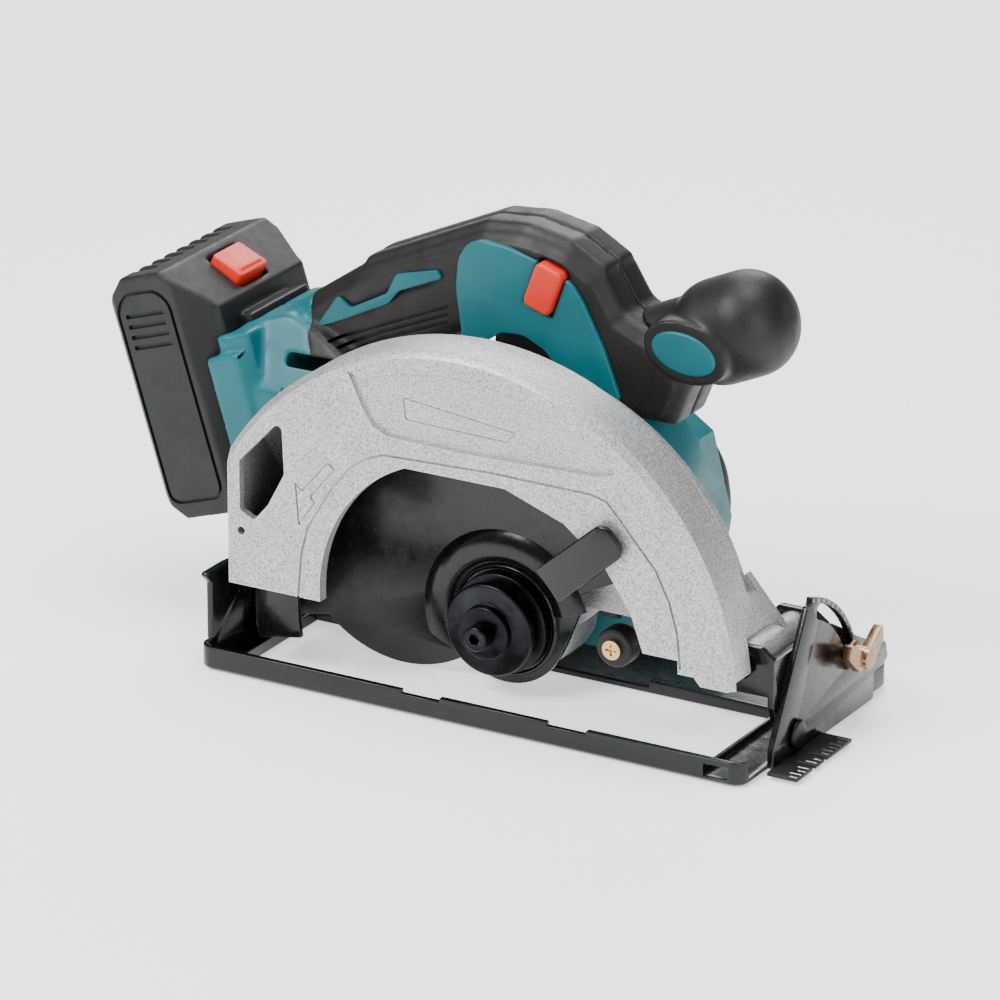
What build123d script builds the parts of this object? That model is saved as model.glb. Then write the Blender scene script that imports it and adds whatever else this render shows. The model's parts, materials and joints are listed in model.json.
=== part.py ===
from build123d import *
import math
import os

# Cordless circular saw for a 165 mm blade, standing on its sole, with no blade fitted.
# Millimetres. +X is forward, +Y is towards the motor, +Z is up.
# Shapes are drawn with Y = 0 in the plane of the blade and X = 0 at the spindle. The finished
# parts are moved by ORIGIN_Y, which puts the origin on the sole's solid strip beside the blade.

# ---- driving dimensions -----------------------------------------------------------------
ORIGIN_Y = 50.0
SPINDLE_Z = 26.0                    # height of the spindle above the sole

BASE_X = (-106.0, 119.0)            # sole plate
BASE_Y = (-35.0, 78.0)
BASE_SKIN = 2.0
RIM_H = 9.0
RIM_T = 2.5
SLOT_X = (-92.0, 101.0)             # blade opening in the sole
SLOT_Y = (-32.5, 26.0)
LIP_H = 4.5
FENCE_X = (103.0, 113.0)            # rip-fence bar passage
FENCE_Z = (2.0, 6.8)

BEVEL_Z = 9.0                       # bevel axis, along X through Y = 0
BEVEL_SLOT_R = 44.0
BEVEL_LOCK_DEG = 21.0
BEVEL_MAX_DEG = 45.0
SHEET = 2.5
GAP = 0.3

DEPTH_X, DEPTH_Z = 106.0, 36.0      # depth axis, along Y
DEPTH_R = 195.0                     # radius of the depth guide about it
DEPTH_LOCK_DEG = -4.0
DEPTH_MAX_DEG = 20.0

GUARD_R = 112.0                     # upper guard, near its outer wall
GUARD_FAR_R = 97.0                  # and at its back wall
GUARD_WALL = 3.0
GUARD_NEAR_Y = -30.0
GUARD_CONE_Y = -9.0                 # where the rim starts to narrow
GUARD_SPLIT_Y = 13.0
GUARD_FAR_Y = 16.0
GUARD_REAR_X = -95.0
GUARD_LOW_Z = 34.0

LOWER_R = 90.0                      # lower guard
LOWER_NEAR_Y = -20.0
LOWER_FAR_Y = 6.2
LOWER_SHEET = 2.0
LEVER_DEG = 41.0
BOSS_R = 17.0                       # bearing boss that the lower guard turns on

GEAR_MODULE = 1.0
GEAR_TEETH = 38
PINION_TEETH = 14
MOTOR_X, MOTOR_Z = 10.0, 50.0       # motor axis, 26 mm from the spindle

HANDLE_Y = 46.0                     # parting plane of the handle halves
GRIP_HALF = 16.0
REAR_HALF = 34.0

BATTERY_TILT = 17.46                # lean of the battery, its foot forward
BATTERY_V = (-129.5, -86.0)         # its depth, square to the lean
BATTERY_U = (76.0, 170.0)           # its length, along the lean
BATTERY_Y = (10.0, 85.0)

NODES = {}


# ---- helpers ----------------------------------------------------------------------------
def box(x, y, z):
    """Box between pairs of limits."""
    size = (x[1] - x[0], y[1] - y[0], z[1] - z[0])
    centre = ((x[0] + x[1]) / 2, (y[0] + y[1]) / 2, (z[0] + z[1]) / 2)
    return Pos(*centre) * Box(*size)


def along_y(face, y0, y1):
    """Extrude a face drawn in X and Z from y0 to y1."""
    return extrude(Plane.XZ.offset(-y0) * face, amount=y1 - y0, dir=(0, 1, 0))


def along_x(face, x0, x1):
    """Extrude a face drawn in Y and Z from x0 to x1."""
    return extrude(Plane.YZ.offset(x0) * face, amount=x1 - x0, dir=(1, 0, 0))


def disc(u, v, r):
    return Pos(u, v) * Circle(r)


def rod_y(x, z, r, y0, y1):
    return along_y(disc(x, z, r), y0, y1)


def ring_y(x, z, inner, outer, y0, y1):
    return along_y(disc(x, z, outer) - disc(x, z, inner), y0, y1)


def rod_x(y, z, r, x0, x1):
    return along_x(disc(y, z, r), x0, x1)


def outline(points, radius=0.0):
    """Closed outline through the points, with its corners rounded."""
    face = Polygon(*points, align=None)
    return fillet(face.vertices(), radius) if radius else face


def arc_band(u, v, inner, outer, start, end):
    """Part of a flat ring between two angles."""
    far = CenterArc((u, v), outer, start, end - start)
    near = CenterArc((u, v), inner, start, end - start)
    sides = [Line(far @ 1, near @ 1), Line(near @ 0, far @ 0)]
    return make_face([far, near] + sides)


def polar(u, v, r, degrees):
    a = math.radians(degrees)
    return (u + r * math.cos(a), v + r * math.sin(a))


def arc_slot(u, v, r, width, start, end):
    """Curved slot with round ends."""
    ends = [disc(*polar(u, v, r, a), width / 2) for a in (start, end)]
    return arc_band(u, v, r - width / 2, r + width / 2, start, end) + ends[0] + ends[1]


def keep(name, *solids):
    """Store a node: one solid, or a group of like solids."""
    moved = [Pos(0, -ORIGIN_Y, 0) * solid for solid in solids]
    NODES[name] = moved[0] if len(moved) == 1 else Compound(children=moved)


# ---- base -------------------------------------------------------------------------------
def base_plate():
    """Pressed steel sole with an upturned rim and a long opening for the blade."""
    outer = box(BASE_X, BASE_Y, (0, RIM_H))
    outer = fillet(outer.edges().filter_by(Axis.Z), 6)
    outer = chamfer(outer.faces().sort_by(Axis.Z)[0].edges(), 1.2)
    inner_x = (BASE_X[0] + RIM_T, BASE_X[1] - RIM_T)
    inner_y = (BASE_Y[0] + RIM_T, BASE_Y[1] - RIM_T)
    inner = box(inner_x, inner_y, (BASE_SKIN, RIM_H + 1))
    inner = fillet(inner.edges().filter_by(Axis.Z), 3.5)
    plate = outer - inner - box(SLOT_X, SLOT_Y, (-1, BASE_SKIN + 1))
    lip = 1.5
    for x0, x1, y0, y1 in (
        (SLOT_X[0] - lip, SLOT_X[0], SLOT_Y[0], SLOT_Y[1] + lip),
        (SLOT_X[1], SLOT_X[1] + lip, SLOT_Y[0], SLOT_Y[1] + lip),
        (SLOT_X[0], -36, SLOT_Y[1], SLOT_Y[1] + lip),
        (48, SLOT_X[1], SLOT_Y[1], SLOT_Y[1] + lip),
    ):
        plate += box((x0, x1), (y0, y1), (BASE_SKIN - 0.5, LIP_H))
    plate -= box((FENCE_X[0], FENCE_X[1]), (BASE_Y[0] - 1, BASE_Y[1] + 1), FENCE_Z)
    plate -= box((BASE_X[1] - RIM_T - 1, BASE_X[1] + 1), (-30, 9), (BASE_SKIN, RIM_H + 1))
    plate -= box((BASE_X[0] - 1, BASE_X[0] + RIM_T + 1), (-6, 6), (3, RIM_H + 1))
    for x in (-20, 40):
        plate -= box((x, x + 16), (BASE_Y[0] - 1, BASE_Y[0] + RIM_T + 1), (RIM_H - 1.5, RIM_H + 1))
    return plate


def front_quadrant():
    """Bevel scale plate on the front rim, with its curved slot."""
    x0 = BASE_X[1]
    plate = outline([(-17, 1), (-17, 9), (8, 54), (17, 55), (30, 40), (41, 33), (56, 25),
                     (69, 20), (71, 13), (60, 11), (60, 1)], 1.5)
    solid = along_x(plate, x0, x0 + SHEET)
    solid += along_x(arc_band(0, BEVEL_Z, 30, 49, 24, 77), x0, x0 + SHEET)
    slot = arc_slot(0, BEVEL_Z, BEVEL_SLOT_R, 6.0, BEVEL_LOCK_DEG - 1, BEVEL_LOCK_DEG + BEVEL_MAX_DEG + 1)
    return solid - along_x(slot, x0, x0 + SHEET) - rod_x(0, BEVEL_Z, 2.5, x0, x0 + SHEET)


def rear_quadrant():
    """Bevel support plate standing inside the rear rim."""
    x0 = BASE_X[0] + RIM_T
    plate = outline([(-29, 2), (-29, 10), (-32, 11), (-32, 33), (-37, 38), (-22, 38), (0, 36),
                     (14, 30), (20, 20), (22, 2)], 1)
    return along_x(plate - disc(0, BEVEL_Z, 2.5), x0, x0 + SHEET)


def line_guide():
    """Notched plate that follows the cutting line."""
    x0 = BASE_X[1] + SHEET
    plate = box((x0, x0 + 12), (-22, 20), (1, 2.5))
    for y in (0, -9):
        plate -= box((x0 + 5, x0 + 13), (y - 1, y + 1), (0, 3))
    return plate


def bevel_rivets():
    front = BASE_X[1]
    rear = BASE_X[0] + RIM_T
    pair = []
    for a, b, sign in ((front + SHEET, front - SHEET - 2 * GAP, 1), (rear, rear + 2 * SHEET + 2 * GAP, -1)):
        shank = rod_x(0, BEVEL_Z, 2.5, min(a, b), max(a, b))
        head = rod_x(0, BEVEL_Z, 5.5, min(a, a + sign * 1.8), max(a, a + sign * 1.8))
        tail = rod_x(0, BEVEL_Z, 4.2, min(b, b - sign * 1.5), max(b, b - sign * 1.5))
        pair.append(shank + head + tail)
    return pair


# ---- tilting frame ----------------------------------------------------------------------
BRACKET_FRONT_X = BASE_X[1] - SHEET - GAP
BRACKET_REAR_X = BASE_X[0] + RIM_T + SHEET + GAP


def front_bracket():
    """Plate behind the front quadrant, with two ears for the depth pivot."""
    x0 = BRACKET_FRONT_X
    plate = outline([(-5, 6), (-12, 22), (-12, 40), (30.5, 40), (47, 31), (47, 18), (6, 9.5)], 1.2)
    bracket = along_x(plate, x0, x0 + SHEET) + rod_x(0, BEVEL_Z, 6.5, x0, x0 + SHEET)
    bracket -= rod_x(0, BEVEL_Z, 2.55, x0, x0 + SHEET)
    bracket -= rod_x(*polar(0, BEVEL_Z, BEVEL_SLOT_R, BEVEL_LOCK_DEG), 2.5, x0, x0 + SHEET)
    ear = outline([(x0 + SHEET, 26), (x0 + SHEET, 40), (x0 - 3, 44), (DEPTH_X - 8, 44),
                   (DEPTH_X - 8, 29), (DEPTH_X - 4, 26)], 2)
    ear -= disc(DEPTH_X, DEPTH_Z, 3.0)
    for y in (-12, 28):
        bracket += along_y(ear, y, y + SHEET)
    return bracket


def rear_bracket():
    x0 = BRACKET_REAR_X
    plate = outline([(-5, 10), (-4, 24), (16, 40), (25, 40), (25, 12), (6, 5)], 1.5)
    bracket = along_x(plate, x0, x0 + SHEET) + rod_x(0, BEVEL_Z, 6.5, x0, x0 + SHEET)
    return bracket - rod_x(0, BEVEL_Z, 2.55, x0, x0 + SHEET)


GUIDE_Y = (20.0, 22.5)


def depth_guide():
    """Arc that the depth lock slides along, standing on the rear bracket."""
    start = 180 - DEPTH_LOCK_DEG + 4.5
    end = 180 - DEPTH_LOCK_DEG - DEPTH_MAX_DEG - 3
    arc = arc_band(DEPTH_X, DEPTH_Z, DEPTH_R - 6.5, DEPTH_R + 6.5, end, start)
    foot = outline([(BRACKET_REAR_X + SHEET, 13), (BRACKET_REAR_X + SHEET, 38), (-90, 38), (-88, 13)])
    slot = arc_slot(DEPTH_X, DEPTH_Z, DEPTH_R, 6.6, end + 2.2, start - 3.2)
    return along_y(arc, *GUIDE_Y) + along_y(foot, *GUIDE_Y) - along_y(slot, *GUIDE_Y)


def depth_pivot_bolt():
    shank = rod_y(DEPTH_X, DEPTH_Z, 3.0, -12, 34)
    head = rod_y(DEPTH_X, DEPTH_Z, 4.4, -14.8, -12)
    head = fillet(head.edges().sort_by(Axis.Y)[0], 1.4)
    cross = box((DEPTH_X - 2.4, DEPTH_X + 2.4), (-15, -13.4), (DEPTH_Z - 0.5, DEPTH_Z + 0.5))
    cross += box((DEPTH_X - 0.5, DEPTH_X + 0.5), (-15, -13.4), (DEPTH_Z - 2.4, DEPTH_Z + 2.4))
    return shank + head - cross


def depth_pivot_nut():
    flats = Pos(DEPTH_X, DEPTH_Z) * RegularPolygon(5.8, 6)
    return along_y(flats - disc(DEPTH_X, DEPTH_Z, 3.0), 28 + SHEET, 34)


def bevel_wing_screw():
    """Wing screw that clamps the bevel setting."""
    y, z = polar(0, BEVEL_Z, BEVEL_SLOT_R, BEVEL_LOCK_DEG)
    x0 = BASE_X[1] + SHEET + GAP
    screw = rod_x(y, z, 2.45, BRACKET_FRONT_X - 1.5, x0)
    screw += rod_x(y, z, 5.5, x0, x0 + 1.5)
    screw += rod_x(y, z, 4.0, x0 + 1.5, x0 + 8)
    for side in (-1, 1):
        wing = outline([(y + side * 2, z - 3), (y + side * 5, z - 4), (y + side * 13, z + 3),
                        (y + side * 12, z + 9), (y + side * 8, z + 7), (y + side * 2, z + 3)], 1)
        screw += along_x(wing, x0 + 3.2, x0 + 6.4)
    return screw


# ---- blade guards -----------------------------------------------------------------------
def guard_clip():
    """Side view of the space that the upper guard is cut from."""
    return outline([(GUARD_REAR_X, GUARD_LOW_Z), (60, GUARD_LOW_Z), (76, 41), (92, 41), (99, 33),
                    (112, 33), (130, 150), (GUARD_REAR_X, 150)])


def guard_turned(shrink):
    """Guard turned about the spindle: straight beside the near wall, then narrowing."""
    corner = 0 if shrink else 2.5
    near_y = GUARD_NEAR_Y + (GUARD_WALL if shrink else 0)
    profile = Polygon((0, near_y), (GUARD_R - shrink - corner, near_y), (GUARD_R - shrink, near_y + corner),
                      (GUARD_R - shrink, GUARD_CONE_Y), (GUARD_FAR_R - shrink, GUARD_SPLIT_Y),
                      (0, GUARD_SPLIT_Y), align=None)
    solid = revolve(profile, axis=Axis.Y)
    return Pos(0, 0, SPINDLE_Z) * solid


def guard_opening():
    """Opening in the near wall, through which the flange and the lever are reached."""
    rear = disc(2, 38, 58.6) & outline([(-80, -30), (2, -30), (2, 92), (-80, 92)])
    front = outline([(-16, 0), (-16, 92), (20, 92), (44, 83.5), (60, 71), (71, 55), (76, 41), (76, 0)])
    return rear + front


def upper_guard():
    """Cast guard: near wall and rim, open underneath and towards the motor."""
    rim_clip = outline([(GUARD_REAR_X, 60), (130, 51), (130, 150), (GUARD_REAR_X, 150)])
    rear_clip = outline([(GUARD_REAR_X, GUARD_LOW_Z), (GUARD_REAR_X + GUARD_WALL, GUARD_LOW_Z),
                         (GUARD_REAR_X + GUARD_WALL, 90), (GUARD_REAR_X, 90)])
    nose_clip = outline([(90, 36), (130, 36), (130, 60), (90, 60)])
    opening_cut = along_y(guard_opening(), GUARD_NEAR_Y - 1, GUARD_NEAR_Y + GUARD_WALL + 3)
    whole = guard_turned(0)
    shell = whole - guard_turned(GUARD_WALL + 0.5)
    near = whole & along_y(guard_clip(), GUARD_NEAR_Y, GUARD_NEAR_Y + GUARD_WALL)
    guard = near + (shell & along_y(rim_clip, GUARD_NEAR_Y, GUARD_SPLIT_Y))
    guard += shell & along_y(nose_clip, GUARD_NEAR_Y, -16)
    guard += whole & along_y(rear_clip, GUARD_NEAR_Y, GUARD_SPLIT_Y)
    step = arc_band(2, 38, 58.6, 66, 95, 184) - outline([(-90, 0), (-90, 33), (0, 33), (0, 0)])
    guard += along_y(step, GUARD_NEAR_Y + 1, GUARD_NEAR_Y + GUARD_WALL + 1.5)
    guard -= opening_cut
    window = outline([(-90, 63), (-90, 82), (-72, 101), (-71, 80), (-78, 67), (-84, 60)], 2)
    guard -= along_y(window, GUARD_NEAR_Y - 1, GUARD_NEAR_Y + GUARD_WALL + 2)
    guard -= rod_y(-89.5, 55, 1.6, GUARD_NEAR_Y - 1, GUARD_NEAR_Y + GUARD_WALL + 2)
    return guard


BUMPER_X, BUMPER_Z = 57.5, 34.6
BUMPER_Y = (-17.8, -9.5)


def guard_back():
    """Cast back wall of the guard, with the depth pivot boss, bumper post and lock lug."""
    wall = disc(0, SPINDLE_Z, GUARD_FAR_R) & guard_clip()
    wall += outline([(-94.5, 14), (-94.5, 60), (-78, 60), (-78, 14)], 3)
    wall += outline([(76, 41), (94, 60), (108, 44), (113, 38), (112, 31), (100, 29), (90, 41)])
    wall += disc(BUMPER_X, BUMPER_Z, 7) + outline([(50, 33), (50, 50), (72, 50), (72, 33)])
    back = along_y(wall, GUARD_SPLIT_Y, GUARD_FAR_Y)
    back -= rod_y(0, SPINDLE_Z, BOSS_R + 0.1, GUARD_SPLIT_Y - 1, GUARD_FAR_Y + 1)
    back += rod_y(DEPTH_X, DEPTH_Z, 7, -9.2, 27.7)
    back -= rod_y(DEPTH_X, DEPTH_Z, 3.05, -10, 28)
    back += rod_y(BUMPER_X, BUMPER_Z, 3.5, BUMPER_Y[1], GUARD_SPLIT_Y)
    back -= rod_y(BUMPER_X, BUMPER_Z, 1.5, BUMPER_Y[1] - 1, 0)
    x, z = polar(DEPTH_X, DEPTH_Z, DEPTH_R, 180 - DEPTH_LOCK_DEG)
    back -= rod_y(x, z, 3.0, GUARD_SPLIT_Y - 1, GUARD_FAR_Y + 1)
    back -= box((-40, 50), (GUARD_SPLIT_Y - 1, GUARD_FAR_Y + 1), (-10, 6))
    return back


def guard_screws():
    """Screws that hold the guard to its back wall."""
    group = []
    for angle in (35, 75, 115, 143):
        x, z = polar(0, SPINDLE_Z, GUARD_FAR_R - 6, angle)
        screw = rod_y(x, z, 3.2, GUARD_FAR_Y, GUARD_FAR_Y + 2.4)
        group.append(screw)
    return group


def guard_bumper():
    ring = ring_y(BUMPER_X, BUMPER_Z, 1.5, 7.3, *BUMPER_Y)
    return fillet(ring.edges().filter_by(GeomType.CIRCLE).sort_by(SortBy.RADIUS)[-2:], 1.5)


def guard_bumper_screw():
    y = BUMPER_Y[0]
    screw = rod_y(BUMPER_X, BUMPER_Z, 3.6, y - 1.8, y) + rod_y(BUMPER_X, BUMPER_Z, 1.5, y, -2)
    cross = box((BUMPER_X - 2.2, BUMPER_X + 2.2), (y - 3, y - 0.9), (BUMPER_Z - 0.5, BUMPER_Z + 0.5))
    cross += box((BUMPER_X - 0.5, BUMPER_X + 0.5), (y - 3, y - 0.9), (BUMPER_Z - 2.2, BUMPER_Z + 2.2))
    return screw - cross


LOWER_START, LOWER_END = 27.0, 190.0


def lower_guard():
    """Swinging steel guard: far wall, rim and a narrow near lip, turned about the boss."""
    z = SPINDLE_Z
    wall = arc_band(0, z, 10, LOWER_R, LOWER_START, LOWER_END)
    wall += disc(-43, 47, 46.6) & disc(0, z, LOWER_R)
    wall += outline([(0, z), (34, z + 17), (24, z - 7), (0, z - 24.5)]) + disc(0, z, 24.5)
    wall -= disc(0, z, BOSS_R + 0.06)
    guard = along_y(wall, LOWER_FAR_Y, LOWER_FAR_Y + LOWER_SHEET)
    rim = arc_band(0, z, LOWER_R - LOWER_SHEET, LOWER_R, LOWER_START, LOWER_END)
    guard += along_y(rim, LOWER_NEAR_Y, LOWER_FAR_Y + LOWER_SHEET)
    lip = arc_band(0, z, 72, LOWER_R, LOWER_START, LOWER_END)
    guard += along_y(lip, LOWER_NEAR_Y, LOWER_NEAR_Y + LOWER_SHEET)
    return guard + ring_y(0, z, BOSS_R + 0.06, 21, LOWER_FAR_Y, 12.3)


def lower_guard_lever():
    """Hooked strip that lifts the lower guard by hand, riveted to its near lip."""
    width = 14.0
    arm = box((52.5, 80), (LOWER_NEAR_Y - 2, LOWER_NEAR_Y), (-width / 2, width / 2))
    leg = box((52.5, 55), (-34.2, LOWER_NEAR_Y - 2), (-width / 2, width / 2))
    pad = box((52.5, 88), (-34.2, -31.7), (-width / 2, width / 2))
    pad = fillet(pad.edges().filter_by(Axis.Y).sort_by(Axis.X)[-2:], 5)
    return Pos(0, 0, SPINDLE_Z) * Rot(0, -LEVER_DEG, 0) * (arm + leg + pad)


def guard_spring():
    """Torsion spring that closes the lower guard."""
    coils = Pos(0, 9.4, SPINDLE_Z) * Rot(90, 0, 0) * Torus(23, 0.8)
    coils += Pos(0, 10.9, SPINDLE_Z) * Rot(90, 0, 0) * Torus(23, 0.8)
    leg = box((22.2, 23.8), (9.4, 10.9), (SPINDLE_Z - 2, SPINDLE_Z + 2))
    return coils + leg


def bearing_retainer():
    return ring_y(0, SPINDLE_Z, 7, 19.5, 5.2, 5.9)


# ---- spindle, gears and motor -----------------------------------------------------------
BEARING_FAR_Y = (32.0, 39.0)
GEAR_Y = (23.0, 30.0)


def toothed_wheel(x, z, teeth, half_height, phase):
    """Spur gear outline with straight-sided teeth and working backlash."""
    pitch_r = GEAR_MODULE * teeth / 2
    wheel = disc(x, z, pitch_r - half_height - 0.15)
    for i in range(teeth):
        a = phase + 360 * i / teeth
        tooth = outline([(pitch_r - half_height - 0.8, -0.8), (pitch_r, -0.5),
                         (pitch_r + half_height, -0.25), (pitch_r + half_height, 0.25),
                         (pitch_r, 0.5), (pitch_r - half_height - 0.8, 0.8)])
        wheel += Pos(x, z) * Rot(0, 0, a) * tooth
    return wheel


def spindle():
    shaft = rod_y(0, SPINDLE_Z, 5, -3, BEARING_FAR_Y[1])
    shaft += rod_y(0, SPINDLE_Z, 7.5, 16.3, 20)
    return shaft - rod_y(0, SPINDLE_Z, 3, -4, 12)


def spindle_gear():
    mesh = math.degrees(math.atan2(MOTOR_Z - SPINDLE_Z, MOTOR_X))
    face = toothed_wheel(0, SPINDLE_Z, GEAR_TEETH, 0.75, mesh)
    return along_y(face - disc(0, SPINDLE_Z, 5), *GEAR_Y)


def spindle_bearings():
    near = ring_y(0, SPINDLE_Z, 5.03, 13, 8, 16)
    far = ring_y(0, SPINDLE_Z, 5.03, 13, *BEARING_FAR_Y)
    return near, far


def inner_flange():
    """Flange with the spigot that centres the blade."""
    flange = ring_y(0, SPINDLE_Z, 5, 19, 1, 4.8) + ring_y(0, SPINDLE_Z, 5, 8, -3, 1)
    return flange


def outer_flange():
    disc_part = ring_y(0, SPINDLE_Z, 3, 17.5, -7, -3)
    disc_part = fillet(disc_part.edges().filter_by(GeomType.CIRCLE).sort_by(SortBy.RADIUS)[-2:], 1.0)
    hub = ring_y(0, SPINDLE_Z, 3, 10, -10.5, -7)
    return disc_part + hub


def blade_bolt():
    """Socket-head bolt that clamps the blade between the flanges."""
    head = rod_y(0, SPINDLE_Z, 4.6, -17, -10.5)
    head = chamfer(head.edges().sort_by(Axis.Y)[0], 0.5)
    socket = along_y(Pos(0, SPINDLE_Z) * RegularPolygon(2.3, 6), -17.5, -13)
    return head - socket + rod_y(0, SPINDLE_Z, 3, -10.5, 11.5)


def rotor_shaft():
    """Motor shaft with the pinion cut on its near end."""
    mesh = 180 + math.degrees(math.atan2(MOTOR_Z - SPINDLE_Z, MOTOR_X))
    face = toothed_wheel(MOTOR_X, MOTOR_Z, PINION_TEETH, 0.75, mesh + 180 / PINION_TEETH)
    return along_y(face, *GEAR_Y) + rod_y(MOTOR_X, MOTOR_Z, 4, GEAR_Y[1], 103)


def rotor_bearings():
    near = ring_y(MOTOR_X, MOTOR_Z, 4.03, 11, *BEARING_FAR_Y)
    far = ring_y(MOTOR_X, MOTOR_Z, 4.03, 11, 96, 103)
    return near, far


def rotor_core():
    return ring_y(MOTOR_X, MOTOR_Z, 4, 16, 50, 80)


def stator():
    ring = ring_y(MOTOR_X, MOTOR_Z, 23, 28, 48, 82)
    for i in range(6):
        ring += Pos(MOTOR_X, 0, MOTOR_Z) * Rot(0, 60 * i, 0) * box((16.6, 24), (48, 82), (-3, 3))
    return ring


def cooling_fan():
    fan = ring_y(MOTOR_X, MOTOR_Z, 4, 25, 86, 87.5)
    for i in range(9):
        blade = box((12, 25), (87, 93), (-0.7, 0.7))
        fan += Pos(MOTOR_X, 0, MOTOR_Z) * Rot(0, 40 * i, 0) * blade
    return fan


def drive_outline(grow):
    """Side view of the gear case: spindle boss, motor circle and the lines between them."""
    spindle_r, motor_r = 20.6 + grow, 26.0 + grow
    return disc(0, SPINDLE_Z, spindle_r) + disc(MOTOR_X, MOTOR_Z, motor_r)


def gear_housing():
    """Cast gear case with the boss that carries the near bearing and the lower guard."""
    case = along_y(drive_outline(2.4), GUARD_FAR_Y, 31)
    case -= along_y(drive_outline(0), 20.5, 32)
    case += ring_y(0, SPINDLE_Z, 12, BOSS_R, 5.9, GUARD_FAR_Y)
    case -= rod_y(0, SPINDLE_Z, 13, 5, 16)
    case -= rod_y(0, SPINDLE_Z, 8.5, 15, 21)
    return case - rod_x(25, SPINDLE_Z + 4, 3.0, 10, 40)


def bearing_plate():
    """Plate that closes the gear case and holds the far bearings."""
    plate = along_y(drive_outline(2.4), 31, 34)
    plate += rod_y(0, SPINDLE_Z, 15.5, 33, 39) + rod_y(MOTOR_X, MOTOR_Z, 13.5, 33, 39)
    plate -= rod_y(0, SPINDLE_Z, 13, BEARING_FAR_Y[0], 40) + rod_y(0, SPINDLE_Z, 7, 30, 40)
    return plate - rod_y(MOTOR_X, MOTOR_Z, 11, BEARING_FAR_Y[0], 40) - rod_y(MOTOR_X, MOTOR_Z, 9, 30, 40)


MOTOR_OUTLINE = [(36, 100), (48, 86), (53, 56), (48, 30), (30, 10), (-12, 10), (-32, 24), (-40, 52),
                 (-36, 84), (-14, 98)]
MOTOR_FAR_OUTLINE = [(20, 90), (38, 78), (46, 46), (43, 28), (26, 12), (-10, 12), (-26, 26), (-31, 52),
                     (-22, 78), (-4, 90)]


def motor_housing():
    """Faceted shell around the motor."""
    shell = along_y(outline(MOTOR_OUTLINE), 34, 62)
    shell += along_y(offset(outline(MOTOR_OUTLINE), amount=-3.5, kind=Kind.INTERSECTION), 62, 66)
    shell += along_y(outline(MOTOR_FAR_OUTLINE), 66, 92)
    shell -= rod_y(MOTOR_X, MOTOR_Z, 28, 41, 93)
    shell -= rod_y(0, SPINDLE_Z, 16, 33, 40) + rod_y(MOTOR_X, MOTOR_Z, 20, 33, 42)
    return shell


def motor_end_cap():
    """Vented cap over the fan and the rear motor bearing."""
    dome = rod_y(MOTOR_X, MOTOR_Z, 29, 94, 107)
    cap = fillet(dome.edges().sort_by(Axis.Y)[-1], 5) + rod_y(MOTOR_X, MOTOR_Z, 34, 92, 95)
    cap -= rod_y(MOTOR_X, MOTOR_Z, 27, 91, 94) + rod_y(MOTOR_X, MOTOR_Z, 11, 93, 103)
    cap -= ring_y(MOTOR_X, MOTOR_Z, 15, 25.5, 93, 103)
    for i in range(16):
        vent = box((17, 24), (100, 108), (-1.5, 1.5))
        cap -= Pos(MOTOR_X, 0, MOTOR_Z) * Rot(0, 22.5 * i, 0) * vent
    return cap


def motor_screws():
    """Long screws that hold the end cap to the motor housing."""
    group = []
    for angle in (45, 135, 225, 315):
        x, z = polar(MOTOR_X, MOTOR_Z, 30.6, angle)
        group.append(rod_y(x, z, 1.5, 78, 95) + rod_y(x, z, 2.6, 95, 97.5))
    return group


# ---- handle and knob --------------------------------------------------------------------
LEAN = Rot(0, -BATTERY_TILT, 0)      # turns (depth, width, length) of the battery into place
REAR_OUTLINE = [(-108, 49), (-126, 106), (-120, 113), (-104, 118), (-90, 114), (-72, 105), (-60, 90),
                (-60, 60), (-70, 49)]
GRIP_OUTLINE = [(-112, 104), (-108, 118), (-76, 140), (-45, 154), (-25, 163), (-8, 164.5), (10, 161),
                (24, 153), (32, 140), (41, 136), (52, 132), (60, 118), (53, 100.5), (20, 100.5),
                (18, 112), (8, 121), (-12, 125), (-34, 120), (-56, 106), (-66, 92), (-90, 84)]


def rear_block():
    """Housing between the grip and the battery, with the battery's channel down its back."""
    face = outline(REAR_OUTLINE)
    block = along_y(face, HANDLE_Y - REAR_HALF + 5, HANDLE_Y + REAR_HALF - 5)
    inset = offset(face, amount=-3, kind=Kind.INTERSECTION)
    block += along_y(inset, HANDLE_Y - REAR_HALF, HANDLE_Y + REAR_HALF)
    shoulders = outline([(12, 40), (12, 92), (28, 120), (64, 120), (80, 92), (80, 40)])
    block &= along_x(shoulders, -140, -50)
    back = LEAN * box((BATTERY_V[0], BATTERY_V[1] + 0.5), (0, 90), (40, 200))
    stem = LEAN * box((-87, -82.2), (29.5, 62.5), (40, 200))
    head = LEAN * box((-82.5, -78.5), (25.5, 66.5), (40, 200))
    return block - back - stem - head


def grip_layer(shrink, half_width):
    """Side view of the grip, drawn in by shrink and made as wide as two half widths."""
    face = offset(outline(GRIP_OUTLINE), amount=-shrink, kind=Kind.INTERSECTION)
    return along_y(face, HANDLE_Y - half_width, HANDLE_Y + half_width)


def grip_solid():
    """Bowed grip and front strut, its edges stepped in towards both sides."""
    grip = along_y(outline(GRIP_OUTLINE), HANDLE_Y - GRIP_HALF + 5, HANDLE_Y + GRIP_HALF - 5)
    return grip + grip_layer(1.5, GRIP_HALF - 2.2) + grip_layer(4.5, GRIP_HALF)


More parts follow.
